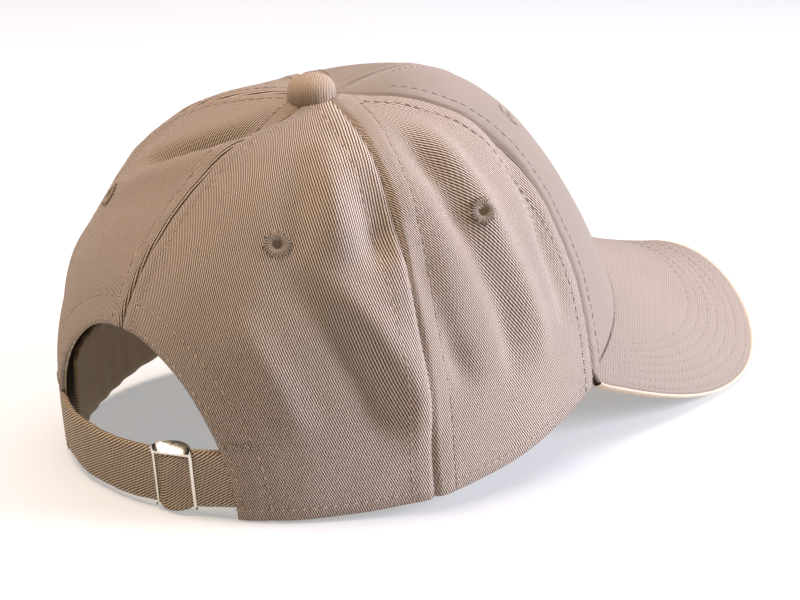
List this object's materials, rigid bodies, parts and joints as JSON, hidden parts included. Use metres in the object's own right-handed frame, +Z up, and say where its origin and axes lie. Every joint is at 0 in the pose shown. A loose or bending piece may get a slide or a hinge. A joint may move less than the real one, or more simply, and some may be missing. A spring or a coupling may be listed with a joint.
{
  "type": "baseball cap",
  "caption": "Low-profile cotton cap with a curved visor, sewn eyelets, a covered top button and a cloth strap with a metal slide buckle across the back opening.",
  "frame": {"origin": "middle of the footprint, on the surface that the cap rests on", "axes": "+Z up with the cap resting on its visor's corners and rear hem, -Y the way the visor points, +X the wearer's left"},
  "size_m": [0.155, 0.293, 0.1235],
  "materials": {
    "shell": "cotton twill, matte",
    "buckram": "stiffened open weave",
    "tape": "plain cotton tape",
    "thread": "sewing thread",
    "band": "cotton twill, matte",
    "board": "moulded sheet",
    "button_metal": "pressed",
    "nickel": "polished nickel plate"
  },
  "bodies": {
    "cap": {"front_panel_left": "shell", "front_panel_right": "shell", "side_panel_left": "shell", "side_panel_right": "shell", "rear_panel_left": "shell", "rear_panel_right": "shell", "buckram_left": "buckram", "buckram_right": "buckram", "seam_tape_front": "tape", "seam_tape_front_left": "tape", "seam_tape_front_right": "tape", "seam_tape_rear_left": "tape", "seam_tape_rear_right": "tape", "seam_tape_back": "tape", "eyelet_front_left": "thread", "eyelet_front_right": "thread", "eyelet_side_left": "thread", "eyelet_side_right": "thread", "eyelet_rear_left": "thread", "eyelet_rear_right": "thread", "button_cover": "shell", "button_shell": "button_metal", "button_rivet": "button_metal", "sweatband": "band", "visor_board": "board", "visor_top_cover": "shell", "visor_under_cover": "shell", "opening_facing_left": "tape", "opening_facing_right": "tape", "strap": "shell", "bar_tack_left": "thread", "bar_tack_right": "thread"},
    "buckle": {"slide_buckle": "nickel", "strap_return": "shell"}
  },
  "joints": [
    {"name": "buckle_slide", "type": "hinge", "parent": "cap", "child": "buckle", "pos_m": [0, 0.08037, 0.01351], "axis": [0, 0.1745, 0.9847], "range_deg": [-36, 6]}
  ]
}
